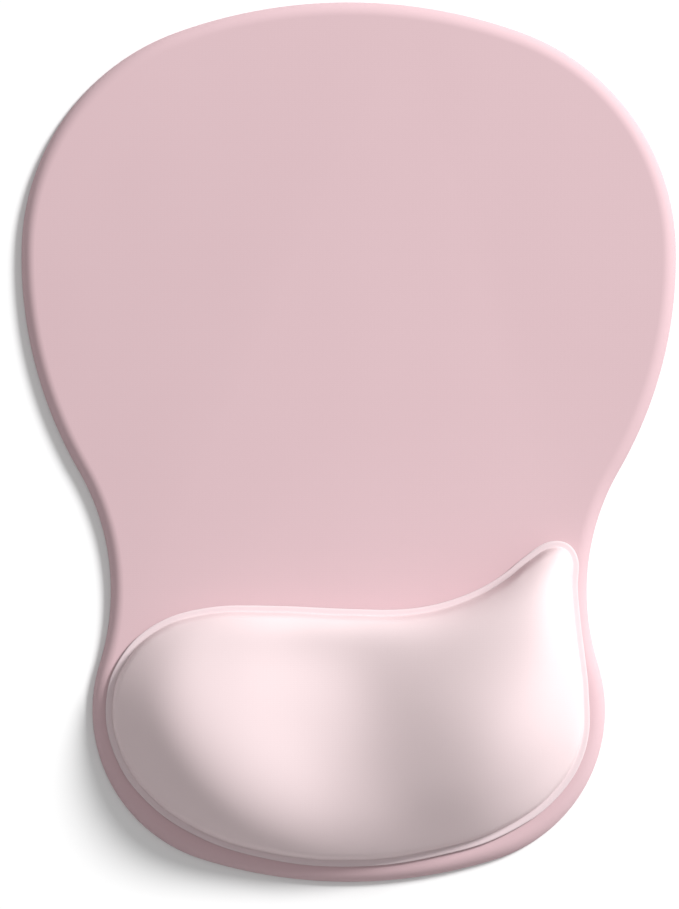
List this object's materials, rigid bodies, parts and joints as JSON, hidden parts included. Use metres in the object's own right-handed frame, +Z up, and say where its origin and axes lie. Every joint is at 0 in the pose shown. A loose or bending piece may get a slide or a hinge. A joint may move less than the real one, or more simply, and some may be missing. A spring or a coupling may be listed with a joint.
{
  "type": "mouse pad with wrist rest",
  "caption": "Contoured flat mouse pad with a rounded waist and a raised, asymmetric padded wrist rest along its near edge.",
  "frame": {"origin": "centre of the underside, on the desk", "axes": "+Z up, +Y away from the user towards the mousing area, +X to the right, on the side of the rest's high horn"},
  "size_m": [0.186, 0.25, 0.0288],
  "materials": {
    "base_rubber": "matt moulded rubber with a pressed honeycomb grip",
    "hot_melt_film": "milky hot-melt adhesive film",
    "core_foam": "closed-cell foam rubber",
    "surface_knit": "fine smooth elastane jersey, dusty pink, matt",
    "backing_scrim": "thin bonded nonwoven",
    "memory_foam": "open-cell slow-rebound foam",
    "rest_knit": "soft brushed elastane jersey, pale pink, slight sheen"
  },
  "bodies": {
    "root": {"nonslip_base": "base_rubber", "base_adhesive": "hot_melt_film", "pad_core": "core_foam", "surface_adhesive": "hot_melt_film", "surface_cloth": "surface_knit", "rest_adhesive": "hot_melt_film", "rest_backing": "backing_scrim", "rest_foam": "memory_foam", "cover_lining": "hot_melt_film", "rest_cover": "rest_knit"}
  },
  "joints": []
}
